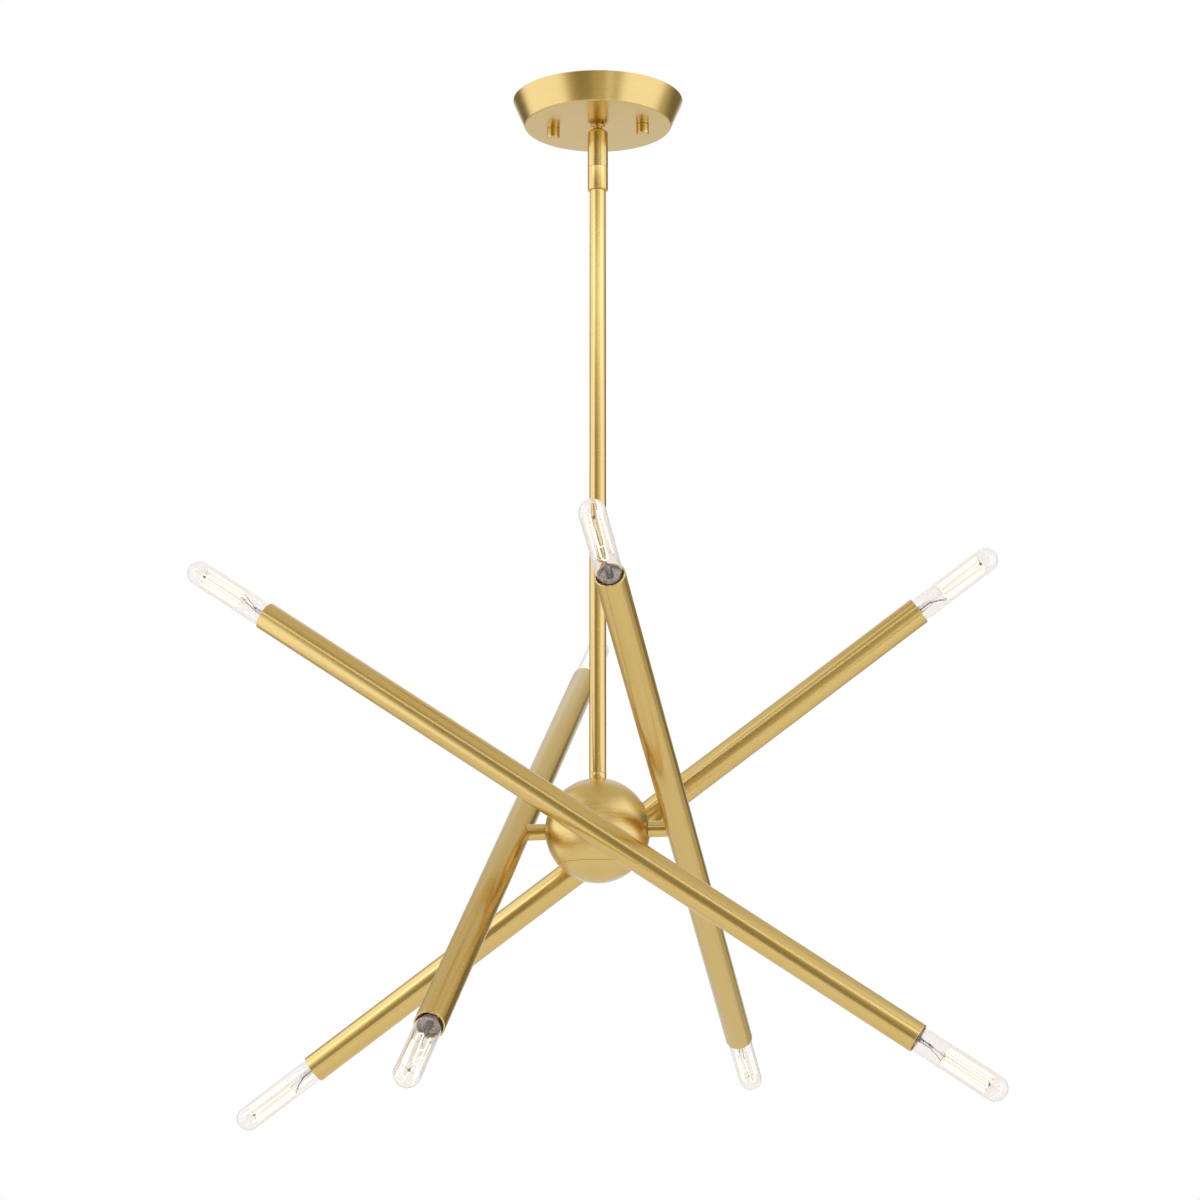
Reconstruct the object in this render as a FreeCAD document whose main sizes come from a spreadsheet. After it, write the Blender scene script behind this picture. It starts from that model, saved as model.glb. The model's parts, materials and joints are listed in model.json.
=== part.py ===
import FreeCAD, Part
import math
import os
import re
import Sketcher

# A sputnik chandelier: a round canopy on a ceiling bar, a stem that hangs from it on a ball swivel,
# a ball at the foot of the stem, and four long tubes set round the ball like a pinwheel.
# Each tube is carried at its middle by a short post, and has a candelabra bulb in both ends.
#
# Millimetres. The origin is on the ceiling at the canopy's centre, +Z is up, and the ceiling bar
# and its two canopy screws lie along X. Angles are in degrees, turned about +Z from +X.

SIZES = {
    # canopy
    "canopy_rim_radius": 66,
    "canopy_face_radius": 56.8,
    "canopy_depth": 21,
    "canopy_wall": 1.2,
    "canopy_edge_round": 1.6,
    # bar between canopy and ceiling box
    "bar_length": 112,
    "bar_width": 20,
    "bar_thickness": 2.5,
    "box_slot_spacing": 88.9,
    "box_slot_length": 9,
    "box_slot_width": 4.8,
    "canopy_screw_spacing": 70,
    "canopy_screw_radius": 2,
    "screw_nut_width": 7,
    "screw_nut_height": 3.2,
    "knob_radius": 4.9,
    "knob_length": 8,
    "knob_round": 1.2,
    "knob_floor": 2,
    "ground_screw_offset": 18,
    "ground_screw_radius": 2,
    "ground_head_radius": 4.2,
    "ground_head_height": 2.6,
    # swivel between canopy and stem
    "pipe_thread_radius": 4.85,
    "pipe_nut_width": 14,
    "pipe_nut_height": 4,
    "wire_bore_radius": 2.3,
    "stud_spare_thread": 3,
    "stud_neck_radius": 3.3,
    "stud_ball_radius": 6,
    "stud_collar_radius": 5.6,
    "stud_collar_thickness": 0.8,
    "stud_groove_top": 4.8,
    "swivel_gap": 3.1,
    "swivel_tilt": 15,
    "swivel_pin_radius": 1,
    "swivel_pin_turn": -22,
    "cup_radius": 7.85,
    "cup_length": 30.5,
    "cup_mouth_radius": 5.1,
    "cup_top_round": 3,
    "socket_length": 18.7,
    "socket_grip": 14,
    "spigot_length": 11,
    # stem
    "stem_radius": 6.35,
    "stem_wall": 1.4,
    "stem_in_view": 455.8,
    "nipple_wall": 1.6,
    "nipple_in_stem": 15,
    "foot_collar_height": 3.8,
    # ball at the foot of the stem
    "ball_radius": 39,
    "ball_wall": 1.4,
    "cap_seam_drop": 25,
    "cap_lip_height": 6,
    "cap_lip_wall": 1.1,
    # arms
    "arm_length": 580,
    "arm_radius": 10.75,
    "arm_wall": 1.2,
    "arm_reach": 62.4,
    "arms_turn": -4.2,
    "front_tilt": 33.6,
    "right_tilt": 28.2,
    "back_tilt": 35.7,
    "left_tilt": 33.3,
    "post_radius": 6.1,
    "nipple_in_arm": 1.5,
    # candelabra bulbs and their holders, measured inwards and outwards from an arm's mouth
    "bulb_reach": 72,
    "bulb_radius": 9.3,
    "bulb_wall": 0.6,
    "bulb_shoulder": 8,
    "bulb_neck_radius": 5.9,
    "bulb_neck_inset": 1,
    "neck_in_skirt": 2.5,
    "skirt_inset": 5.5,
    "skirt_radius": 6.9,
    "skirt_length": 3.6,
    "base_radius": 5.85,
    "base_length": 15,
    "base_tip_radius": 2.4,
    "base_cone_length": 2,
    "base_tip_length": 1.2,
    "holder_inset": 4,
    "holder_floor": 4,
    "press_radius": 2.6,
    "press_top": 11,
    "press_top_radius": 1.6,
    "filament_foot": 22,
    "filament_top": 58,
    "filament_cage_radius": 6.2,
    "filament_wire_radius": 0.22,
    "filament_lead_offset": 1.1,
    # clearances
    "running_fit": 0.08,
    "screwed_fit": 0.05,
    "seat_gap": 0.3,
    "ball_play": 0.15,
}

FILAMENT_STRANDS = 8
ARMS = {"front": -90, "right": 0, "back": 90, "left": 180}
ENDS = {"upper": 1, "lower": -1}
SCREW_SIDES = {"right": 1, "left": -1}

doc = FreeCAD.newDocument("sputnik_chandelier")
sheet = doc.addObject("Spreadsheet::Sheet", "Sizes")
for row, (alias, size) in enumerate(SIZES.items(), 1):
    sheet.set(f"A{row}", alias)
    sheet.set(f"B{row}", str(size))
    sheet.setAlias(f"B{row}", alias)
doc.recompute()

subparts = []


# ---------------------------------------------------------------- how pieces are drawn

def formula(text):
    """The expression `text` with the name of each size pointed at its cell in the sheet."""
    def cell(word):
        name = word.group()
        return "Sizes." + name if name in SIZES else name
    return re.sub(r"[A-Za-z_]+", cell, text)


def value(text):
    """What the expression `text` comes to now."""
    return float(sheet.evalExpression(formula(text)))


def at(across="0", along="0", up="0", yaw="0", pitch="0", roll="0"):
    """A placement, turned by roll about X, then pitch about Y, then yaw about Z."""
    return f"placement(vector({across}; {along}; {up}); rotation({yaw}; {pitch}; {roll}))"


def solid(kind, name, place, **properties):
    """A Part primitive whose properties are bound to the sheet."""
    shape = doc.addObject("Part::" + kind, name)
    for key, text in properties.items():
        shape.setExpression(key, formula(text))
    shape.setExpression("Placement", formula(place))
    return shape


def rod(name, radius, length, place=at()):
    return solid("Cylinder", name, place, Radius=radius, Height=length)


def sphere(name, radius, place=at()):
    return solid("Sphere", name, place, Radius=radius)


def block(name, length, width, height, place):
    return solid("Box", name, place, Length=length, Width=width, Height=height)


def joined(name, pieces):
    fuse = doc.addObject("Part::MultiFuse", name)
    fuse.Shapes = pieces
    fuse.Refine = True
    return fuse


def cut(name, base, tools):
    result = doc.addObject("Part::Cut", name)
    result.Base = base
    result.Tool = tools[0] if len(tools) == 1 else joined(name + "_cutters", tools)
    return result


def group(name, pieces):
    """Separate solids kept together in one sub-part."""
    compound = doc.addObject("Part::Compound", name)
    compound.Links = pieces
    return compound


def outline(body, name, corners):
    """A closed sketch in the body's XZ plane through `corners`, each (radius, height).

    A corner with a third item starts an arc about that height on the axis. A corner that is on
    the axis and ends or starts an arc takes its height from the arc.
    """
    sketch = body.newObject("Sketcher::SketchObject", name)
    plane = next(datum for datum in body.Origin.OriginFeatures if datum.Role == "XZ_Plane")
    sketch.AttachmentSupport = [(plane, "")]
    sketch.MapMode = "FlatFace"
    count = len(corners)
    points = [FreeCAD.Vector(value(corner[0]), value(corner[1]), 0) for corner in corners]
    first_end = []
    for index, corner in enumerate(corners):
        start = points[index]
        end = points[(index + 1) % count]
        if len(corner) == 2:
            sketch.addGeometry(Part.LineSegment(start, end), False)
            first_end.append(1)
            continue
        centre = FreeCAD.Vector(0, value(corner[2]), 0)
        angles = [math.atan2(point.y - centre.y, point.x - centre.x) for point in (start, end)]
        circle = Part.Circle(centre, FreeCAD.Vector(0, 0, 1), (start - centre).Length)
        sketch.addGeometry(Part.ArcOfCircle(circle, min(angles), max(angles)), False)
        first_end.append(1 if angles[0] < angles[1] else 2)
    for index, corner in enumerate(corners):
        after = (index + 1) % count
        last_end = 3 - first_end[index]
        sketch.addConstraint(Sketcher.Constraint("Coincident", index, last_end, after, first_end[after]))
    for index, corner in enumerate(corners):
        on_arc = len(corner) == 3 or len(corners[index - 1]) == 3
        height = None if on_arc and corner[0] == "0" else corner[1]
        place_point(sketch, index, first_end[index], corner[0], height)
        if len(corner) == 3:
            place_point(sketch, index, 3, "0", corner[2])
    return sketch


def place_point(sketch, edge, end, across, up):
    """Bind one point of a sketch: on an axis where it is "0", otherwise at its distance."""
    for kind, axis, text in (("DistanceX", -2, across), ("DistanceY", -1, up)):
        if text is None:
            continue
        if text == "0":
            sketch.addConstraint(Sketcher.Constraint("PointOnObject", edge, end, axis))
            continue
        number = sketch.addConstraint(Sketcher.Constraint(kind, -1, 1, edge, end, value(text)))
        sketch.setExpression(f"Constraints[{number}]", formula(text))


def turned(name, corners):
    """A body turned about Z from a closed outline."""
    body = doc.addObject("PartDesign::Body", name)
    sketch = outline(body, name + "_outline", corners)
    turn = body.newObject("PartDesign::Revolution", name + "_turn")
    turn.Profile = (sketch, [""])
    turn.ReferenceAxis = (sketch, ["V_Axis"])
    turn.Angle = 360
    return body


def rounded(body, radius, height, rounding):
    """Round the body's circular edge of that radius at that height."""
    doc.recompute()
    base = body.Tip
    wanted = (value(radius), value(height))
    names = []
    for number, edge in enumerate(base.Shape.Edges, 1):
        curve = edge.Curve
        if isinstance(curve, Part.Circle) and math.dist((curve.Radius, curve.Center.z), wanted) < 0.001:
            names.append(f"Edge{number}")
    fillet = body.newObject("PartDesign::Fillet", body.Name + "_round")
    fillet.Base = (base, names)
    fillet.setExpression("Radius", formula(rounding))
    return body


def ring(name, outer, inner, bottom, top):
    return turned(name, [(inner, bottom), (outer, bottom), (outer, top), (inner, top)])


def hexagon_nut(name, width, height, bore, place=at()):
    """A nut standing on its own origin, `width` across flats."""
    blank = solid("Prism", name + "_blank", at(), Circumradius=f"{width} / sqrt(3)", Height=height)
    blank.Polygon = 6
    nut = cut(name, blank, [rod(name + "_bore", bore, f"{height} * 3", at(up=f"-{height}"))])
    nut.setExpression("Placement", formula(place))
    return nut


def finished(part, place=at()):
    """Name a sub-part after its object, put it in its place and keep it."""
    part.Label = part.Name
    part.setExpression("Placement", formula(place))
    subparts.append(part)
    return part


# ---------------------------------------------------------------- heights below the ceiling

FACE = "(-canopy_depth)"
CUP_TOP = f"({FACE} - swivel_gap)"
CAVITY_RADIUS = "(stud_ball_radius + ball_play)"
MOUTH_HEIGHT = f"sqrt({CAVITY_RADIUS}^2 - cup_mouth_radius^2)"
SWIVEL = f"({CUP_TOP} - {MOUTH_HEIGHT})"
CUP_FOOT = f"({CUP_TOP} - cup_length)"
SOCKET_FOOT = f"({CUP_FOOT} - socket_length)"
STEM_FOOT = f"({SOCKET_FOOT} - stem_in_view)"
BALL = f"({STEM_FOOT} - foot_collar_height - ball_radius)"

PIPE_HOLE = "(pipe_thread_radius + running_fit)"
TAPPED = "(pipe_thread_radius + screwed_fit)"
PIPE_BORE = "(pipe_thread_radius - nipple_wall)"
NUT_CORNER = "(pipe_nut_width / sqrt(3))"
BALL_INSIDE = "(ball_radius - ball_wall)"
NUT_SEAT = f"(sqrt({BALL_INSIDE}^2 - {NUT_CORNER}^2) - seat_gap)"


# ---------------------------------------------------------------- canopy and ceiling bar

def canopy_shell():
    """A shallow spun pan, open to the ceiling, holed for the swivel stud and the two screws."""
    rim_inside = "canopy_rim_radius - canopy_wall"
    face_inside = "canopy_face_radius - canopy_wall"
    pan = turned("canopy_pan", [
        ("0", FACE),
        ("canopy_face_radius", FACE),
        ("canopy_rim_radius", "0"),
        (rim_inside, "0"),
        (face_inside, f"{FACE} + canopy_wall"),
        ("0", f"{FACE} + canopy_wall"),
    ])
    rounded(pan, "canopy_face_radius", FACE, "canopy_edge_round")
    drill_from = f"{FACE} - canopy_wall"
    drills = [rod("canopy_stud_drill", PIPE_HOLE, "canopy_wall * 3", at(up=drill_from))]
    for side, sign in SCREW_SIDES.items():
        across = f"{sign} * canopy_screw_spacing / 2"
        drills.append(rod(f"canopy_{side}_drill", "canopy_screw_radius + seat_gap", "canopy_wall * 3",
                          at(across, up=drill_from)))
    return finished(cut("canopy_shell", pan, drills))


def ceiling_bar():
    """A flat strap with a slot near each end for the ceiling box, and tapped for its own screws."""
    strap = block("bar_strap", "bar_length", "bar_width", "bar_thickness",
                  at("-bar_length / 2", "-bar_width / 2", "-bar_thickness"))
    below = "-bar_thickness * 2"
    through = "bar_thickness * 3"
    tools = []
    for side, sign in SCREW_SIDES.items():
        slot_centre = f"{sign} * box_slot_spacing / 2"
        straight = "(box_slot_length - box_slot_width)"
        tools.append(block(f"bar_{side}_slot", straight, "box_slot_width", through,
                           at(f"{slot_centre} - {straight} / 2", "-box_slot_width / 2", below)))
        for end, offset in SCREW_SIDES.items():
            tools.append(rod(f"bar_{side}_slot_{end}", "box_slot_width / 2", through,
                             at(f"{slot_centre} + {offset} * {straight} / 2", up=below)))
        tools.append(rod(f"bar_{side}_tapping", "canopy_screw_radius + screwed_fit", through,
                         at(f"{sign} * canopy_screw_spacing / 2", up=below)))
    tools.append(rod("bar_ground_tapping", "ground_screw_radius + screwed_fit", through,
                     at("ground_screw_offset", up=below)))
    return finished(cut("ceiling_bar", strap, tools))


def canopy_screws():
    """Two headless screws from the bar down through the canopy into the knobs."""
    top = "(-seat_gap)"
    foot = f"({FACE} - knob_length + knob_floor + seat_gap)"
    screws = []
    nuts = []
    for side, sign in SCREW_SIDES.items():
        across = f"{sign} * canopy_screw_spacing / 2"
        screws.append(rod(f"canopy_screw_{side}", "canopy_screw_radius", f"{top} - {foot}",
                          at(across, up=foot)))
        nuts.append(hexagon_nut(f"screw_nut_{side}", "screw_nut_width", "screw_nut_height",
                                "canopy_screw_radius + screwed_fit",
                                at(across, up="-bar_thickness - screw_nut_height")))
    finished(group("canopy_screws", screws))
    finished(group("canopy_screw_nuts", nuts))


def ground_screw():
    head = rod("ground_screw_head", "ground_head_radius", "ground_head_height",
               at("ground_screw_offset", up="-bar_thickness - ground_head_height"))
    shank = rod("ground_screw_shank", "ground_screw_radius", "bar_thickness + ground_head_height - seat_gap",
                at("ground_screw_offset", up="-bar_thickness - ground_head_height"))
    return finished(joined("ground_screw", [head, shank]))


def canopy_knob(side, sign):
    """A round knob screwed up the canopy screw against the face."""
    screw_hole = "canopy_screw_radius + running_fit"
    hole_top = "-knob_length + knob_floor"
    knob = turned(f"canopy_knob_{side}", [
        ("0", "-knob_length"),
        ("knob_radius", "-knob_length"),
        ("knob_radius", "0"),
        (screw_hole, "0"),
        (screw_hole, hole_top),
        ("0", hole_top),
    ])
    rounded(knob, "knob_radius", "-knob_length", "knob_round")
    return finished(knob, at(f"{sign} * canopy_screw_spacing / 2", up=FACE))


# ---------------------------------------------------------------- swivel
# The stud's ball hangs in the cup. Two pins in the cup's wall run in grooves down the ball's sides:
# the pins swing in the grooves one way, and the cup turns about the pins the other way.
# These pieces are drawn about the ball's centre, with the pins along X.

SWIVEL_PLACE = at(up=SWIVEL, yaw="swivel_pin_turn")
PIN_INNER_END = "(wire_bore_radius + 2 * running_fit + swivel_pin_radius)"
PIN_OUTER_END = "(cup_radius - seat_gap)"


def ball_stud():
    """The threaded stud with its ball, bored for the wires and grooved for the pins."""
    collar_foot = f"({FACE} - stud_collar_thickness - {SWIVEL})"
    stud_top = f"({FACE} + canopy_wall + pipe_nut_height + stud_spare_thread - {SWIVEL})"
    neck = rod("stud_neck", "stud_neck_radius", collar_foot)
    thread = rod("stud_thread", "pipe_thread_radius", f"{stud_top} - {collar_foot}", at(up=collar_foot))
    stud = joined("stud_blank", [sphere("stud_ball", "stud_ball_radius"), neck, thread])
    bore = rod("stud_bore", "wire_bore_radius", f"{stud_top} + 4 * stud_ball_radius",
               at(up="-2 * stud_ball_radius"))
    groove_foot = "(-stud_ball_radius * sin(swivel_tilt) - swivel_pin_radius - running_fit)"
    groove_floor = (f"({PIN_INNER_END} * cos(swivel_tilt)"
                    " - swivel_pin_radius * sin(swivel_tilt) - running_fit)")
    groove_width = "2 * (swivel_pin_radius + running_fit)"
    tools = [bore]
    for side, corner in (("right", groove_floor), ("left", f"(-{groove_floor} - stud_ball_radius)")):
        tools.append(block(f"stud_groove_{side}", "stud_ball_radius", groove_width,
                           f"stud_groove_top - {groove_foot}",
                           at(corner, "-swivel_pin_radius - running_fit", groove_foot)))
    return finished(cut("swivel_ball_stud", stud, tools), SWIVEL_PLACE)


def stud_nut_and_collar():
    """The nut inside the canopy and the thin threaded collar under it that clamp its face."""
    finished(hexagon_nut("stud_nut", "pipe_nut_width", "pipe_nut_height", TAPPED),
             at(up=f"{FACE} + canopy_wall"))
    finished(ring("stud_collar", "stud_collar_radius", TAPPED, "-stud_collar_thickness", "0"), at(up=FACE))


def swivel_pins():
    length = f"({PIN_OUTER_END} - {PIN_INNER_END})"
    pins = [
        rod("swivel_pin_right", "swivel_pin_radius", length, at(PIN_INNER_END, pitch="90")),
        rod("swivel_pin_left", "swivel_pin_radius", length, at(f"-{PIN_OUTER_END}", pitch="90")),
    ]
    return finished(group("swivel_pins", pins), SWIVEL_PLACE)


def swivel_cup():
    """The cup round the ball: a closed mouth above, open below for the ball and the stem socket."""
    top = MOUTH_HEIGHT
    foot = f"({MOUTH_HEIGHT} - cup_length)"
    blank = turned("cup_blank", [("0", foot), ("cup_radius", foot), ("cup_radius", top), ("0", top)])
    rounded(blank, "cup_radius", top, "cup_top_round")
    tools = [
        sphere("cup_cavity", CAVITY_RADIUS),
        rod("cup_mouth", "cup_mouth_radius", "cup_length"),
        rod("cup_bore", CAVITY_RADIUS, "cup_length", at(up="-cup_length")),
        rod("cup_pin_hole", "swivel_pin_radius + running_fit", "4 * cup_radius",
            at("-2 * cup_radius", pitch="90")),
    ]
    return finished(cut("swivel_cup", blank, tools), SWIVEL_PLACE)


# ---------------------------------------------------------------- stem

def stem_socket():
    """Screws up into the cup and takes the top of the stem."""
    spigot = f"{CAVITY_RADIUS} - screwed_fit"
    stem_hole = "stem_radius + screwed_fit"
    shoulder = "(-socket_length + socket_grip)"
    return finished(turned("stem_socket", [
        (stem_hole, "-socket_length"),
        ("cup_radius", "-socket_length"),
        ("cup_radius", "0"),
        (spigot, "0"),
        (spigot, "spigot_length"),
        (PIPE_BORE, "spigot_length"),
        (PIPE_BORE, shoulder),
        (stem_hole, shoulder),
    ]), at(up=CUP_FOOT))


def stem_tube():
    return finished(ring("stem_tube", "stem_radius", "stem_radius - stem_wall",
                         "0", "stem_in_view + socket_grip"), at(up=STEM_FOOT))


def foot_collar():
    """A short sleeve between the stem and the ball, hollowed to sit on the ball."""
    blank = ring("collar_blank", "stem_radius", "stem_radius - stem_wall",
                 "sqrt(ball_radius^2 - stem_radius^2) - stem_wall", "ball_radius + foot_collar_height")
    seat = sphere("collar_seat", "ball_radius + screwed_fit")
    return finished(cut("foot_collar", blank, [seat]), at(up=BALL))


def stem_nipple():
    """Threaded tube from inside the stem's foot to the nut inside the ball."""
    foot = f"{NUT_SEAT} - pipe_nut_height - stud_spare_thread"
    finished(ring("stem_nipple", "pipe_thread_radius", PIPE_BORE, foot,
                  "ball_radius + foot_collar_height + nipple_in_stem"), at(up=BALL))
    finished(hexagon_nut("stem_nipple_nut", "pipe_nut_width", "pipe_nut_height", TAPPED),
             at(up=f"{BALL} + {NUT_SEAT} - pipe_nut_height"))


# ---------------------------------------------------------------- ball

def ball_shell():
    """The ball down to the seam, holed at the top for the stem and at the sides for the four posts."""
    seam = "(-cap_seam_drop)"
    blank = turned("ball_blank", [
        ("sqrt(ball_radius^2 - cap_seam_drop^2)", seam, "0"),
        ("0", "ball_radius"),
        ("0", BALL_INSIDE, "0"),
        (f"sqrt({BALL_INSIDE}^2 - cap_seam_drop^2)", seam),
    ])
    tools = [rod("ball_stem_hole", PIPE_HOLE, "2 * ball_radius")]
    for side, azimuth in ARMS.items():
        tools.append(rod(f"ball_{side}_hole", PIPE_HOLE, "2 * ball_radius",
                         at(yaw=f"{azimuth} + arms_turn", pitch="90")))
    return finished(cut("ball_shell", blank, tools), at(up=BALL))


def ball_cap():
    """The lower end of the ball, held by a lip inside the seam."""
    seam = "(-cap_seam_drop)"
    seam_inside = f"sqrt({BALL_INSIDE}^2 - cap_seam_drop^2)"
    lip_outside = f"({seam_inside} - screwed_fit)"
    lip_inside = f"({lip_outside} - cap_lip_wall)"
    return finished(turned("ball_cap", [
        ("0", "-ball_radius", "0"),
        ("sqrt(ball_radius^2 - cap_seam_drop^2)", seam),
        (lip_outside, seam),
        (lip_outside, f"{seam} + cap_lip_height"),
        (lip_inside, f"{seam} + cap_lip_height"),
        (lip_inside, f"-sqrt({BALL_INSIDE}^2 - {lip_inside}^2)", "0"),
        ("0", f"-{BALL_INSIDE}"),
    ]), at(up=BALL))


# ---------------------------------------------------------------- arms
# An arm is drawn about the middle of its tube: the tube along Z, the post towards the ball along -X.

def arm_place(side):
    """The middle of one arm, out from the ball, with its upper end leaned round the ball."""
    azimuth = f"({ARMS[side]} + arms_turn)"
    return at(f"arm_reach * cos({azimuth})", f"arm_reach * sin({azimuth})", BALL,
              yaw=azimuth, roll=f"90 - {side}_tilt")


def arm_tube(side):
    """The long tube, open at both ends, with a hole in its side for the nipple."""
    blank = ring(f"{side}_tube_blank", "arm_radius", "arm_radius - arm_wall",
                 "-arm_length / 2", "arm_length / 2")
    hole = rod(f"{side}_tube_hole", TAPPED, "arm_radius", at("-1.5 * arm_radius", pitch="90"))
    return finished(cut(f"{side}_arm_tube", blank, [hole]), arm_place(side))


def arm_post(side):
    """The sleeve between ball and tube, hollowed to both, clear of the ball that it turns on."""
    sleeve = rod(f"{side}_sleeve", "post_radius", "arm_reach", at("-arm_reach", pitch="90"))
    tools = [
        rod(f"{side}_sleeve_bore", TAPPED, "2 * arm_reach", at("-1.5 * arm_reach", pitch="90")),
        sphere(f"{side}_post_ball", "ball_radius + seat_gap", at("-arm_reach")),
        rod(f"{side}_post_saddle", "arm_radius + screwed_fit", "4 * arm_radius", at(up="-2 * arm_radius")),
    ]
    return finished(cut(f"{side}_arm_post", sleeve, tools), arm_place(side))


def arm_nipple(side):
    """The threaded tube that the arm turns on, and the nut that draws it up inside the ball."""
    inner_end = f"(-arm_reach + {NUT_SEAT} - pipe_nut_height - stud_spare_thread)"
    outer_end = "(-arm_radius + arm_wall + nipple_in_arm)"
    blank = rod(f"{side}_nipple_blank", "pipe_thread_radius", f"{outer_end} - {inner_end}",
                at(inner_end, pitch="90"))
    bore = rod(f"{side}_nipple_bore", PIPE_BORE, "2 * arm_reach", at("-1.5 * arm_reach", pitch="90"))
    nipple = cut(f"{side}_nipple", blank, [bore])
    nut = hexagon_nut(f"{side}_nut", "pipe_nut_width", "pipe_nut_height", TAPPED,
                      at(f"-arm_reach + {NUT_SEAT} - pipe_nut_height", pitch="90"))
    return finished(group(f"{side}_arm_nipple", [nipple, nut]), arm_place(side))


# ---------------------------------------------------------------- bulbs and holders
# These are drawn about the mouth of a tube, with Z pointing out of it.

def mouth_of(side, sign):
    """The mouth of one end of an arm, from the placement of its tube."""
    turn = "0" if sign > 0 else "180"
    return f"{side}_arm_tube.Placement * {at(up=f'{sign} * arm_length / 2', roll=turn)}"


SKIRT_TOP = "(-skirt_inset)"
SKIRT_FOOT = f"({SKIRT_TOP} - skirt_length)"
SHELL_FOOT = f"({SKIRT_FOOT} - base_length)"
TIP_FOOT = f"({SHELL_FOOT} - base_cone_length - base_tip_length)"
NECK_FOOT = f"({SKIRT_TOP} - neck_in_skirt)"


def lampholders(side):
    """The two holders of one arm: a cup for the bulb's skirt over a bore for its screw shell."""
    outside = "arm_radius - arm_wall - screwed_fit"
    skirt_room = "skirt_radius + seat_gap"
    bore = "base_radius + running_fit"
    counterbore = f"{SKIRT_FOOT} - seat_gap"
    bore_floor = f"{TIP_FOOT} - seat_gap"
    holders = []
    for end, sign in ENDS.items():
        holder = turned(f"{side}_{end}_holder", [
            ("0", f"{bore_floor} - holder_floor"),
            (outside, f"{bore_floor} - holder_floor"),
            (outside, "-holder_inset"),
            (skirt_room, "-holder_inset"),
            (skirt_room, counterbore),
            (bore, counterbore),
            (bore, bore_floor),
            ("0", bore_floor),
        ])
        turn = "0" if sign > 0 else "180"
        holder.setExpression("Placement", formula(at(up=f"{sign} * arm_length / 2", roll=turn)))
        holders.append(holder)
    return finished(group(f"{side}_lampholders", holders), arm_place(side))


def bulb_glass(name, place):
    """A straight tubular bulb: domed end, straight sides, a shoulder and a neck."""
    inside = "(bulb_radius - bulb_wall)"
    neck_inside = "(bulb_neck_radius - bulb_wall)"
    dome = "(bulb_reach - bulb_radius)"
    neck_top = "(-bulb_neck_inset)"
    return finished(turned(f"{name}_bulb_glass", [
        (neck_inside, NECK_FOOT),
        ("bulb_neck_radius", NECK_FOOT),
        ("bulb_neck_radius", neck_top),
        ("bulb_radius", "bulb_shoulder"),
        ("bulb_radius", dome, dome),
        ("0", "bulb_reach"),
        ("0", "bulb_reach - bulb_wall", dome),
        (inside, dome),
        (inside, "bulb_shoulder"),
        (neck_inside, neck_top),
    ]), place)


def bulb_base(name, place):
    """The brass skirt and screw shell, with the glass cone and contact at its tip."""
    recess = "bulb_neck_radius + screwed_fit"
    recess_floor = f"{NECK_FOOT} - screwed_fit"
    return finished(turned(f"{name}_bulb_base", [
        ("0", TIP_FOOT),
        ("base_tip_radius", TIP_FOOT),
        ("base_tip_radius", f"{SHELL_FOOT} - base_cone_length"),
        ("base_radius", SHELL_FOOT),
        ("base_radius", SKIRT_FOOT),
        ("skirt_radius", SKIRT_FOOT),
        ("skirt_radius", SKIRT_TOP),
        (recess, SKIRT_TOP),
        (recess, recess_floor),
        ("0", recess_floor),
    ]), place)


def filament_wire():
    """The lead, the strands up and down round a cage, and the lead back, as one bent wire."""
    foot = value("filament_foot")
    top = value("filament_top")
    cage = value("filament_cage_radius")
    press_top = value("press_top")
    lead_offset = value("filament_lead_offset")
    step = 2 * math.pi / FILAMENT_STRANDS

    def bend(radius, angle, height):
        return FreeCAD.Vector(radius * math.cos(angle), radius * math.sin(angle), height)

    points = [bend(lead_offset, step / 2, press_top)]
    for strand in range(FILAMENT_STRANDS):
        angle = step * (strand + 0.5)
        heights = (foot, top) if strand % 2 == 0 else (top, foot)
        for height in heights:
            points.append(bend(cage, angle, height))
    points.append(bend(lead_offset, -step / 2, press_top))
    path = Part.makePolygon(points)
    start = points[1] - points[0]
    section = Part.Wire(Part.makeCircle(value("filament_wire_radius"), points[0], start))
    right_corners = 1
    return path.makePipeShell([section], True, False, right_corners)


def bulb_mount(name, place):
    """What stands inside the glass: the pressed glass stem and the filament on its leads."""
    press_foot = value(NECK_FOOT)
    press = Part.makeCone(value("press_radius"), value("press_top_radius"), value("press_top") - press_foot,
                          FreeCAD.Vector(0, 0, press_foot))
    part = doc.addObject("Part::Feature", f"{name}_bulb_filament")
    part.Shape = Part.makeCompound([press, filament_wire()])
    return finished(part, place)


# ---------------------------------------------------------------- the whole chandelier

canopy_shell()
ceiling_bar()
canopy_screws()
ground_screw()
ball_stud()
stud_nut_and_collar()
for screw_side, direction in SCREW_SIDES.items():
    canopy_knob(screw_side, direction)
swivel_pins()
swivel_cup()
stem_socket()
stem_tube()
foot_collar()
stem_nipple()
ball_shell()
ball_cap()
for arm in ARMS:
    arm_tube(arm)
    arm_post(arm)
    arm_nipple(arm)
    lampholders(arm)
    for end_name, direction in ENDS.items():
        bulb = f"{arm}_{end_name}"
        mouth = mouth_of(arm, direction)
        bulb_glass(bulb, mouth)
        bulb_base(bulb, mouth)
        bulb_mount(bulb, mouth)

doc.recompute()
for item in doc.Objects:
    if {"Invalid", "Error"} & set(item.State):
        raise RuntimeError(f"{item.Name} failed: {item.State}")
for part in subparts:
    if part.Shape.isNull() or not part.Shape.isValid() or not part.Shape.Solids:
        raise RuntimeError(f"{part.Label} has no valid solid")

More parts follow.
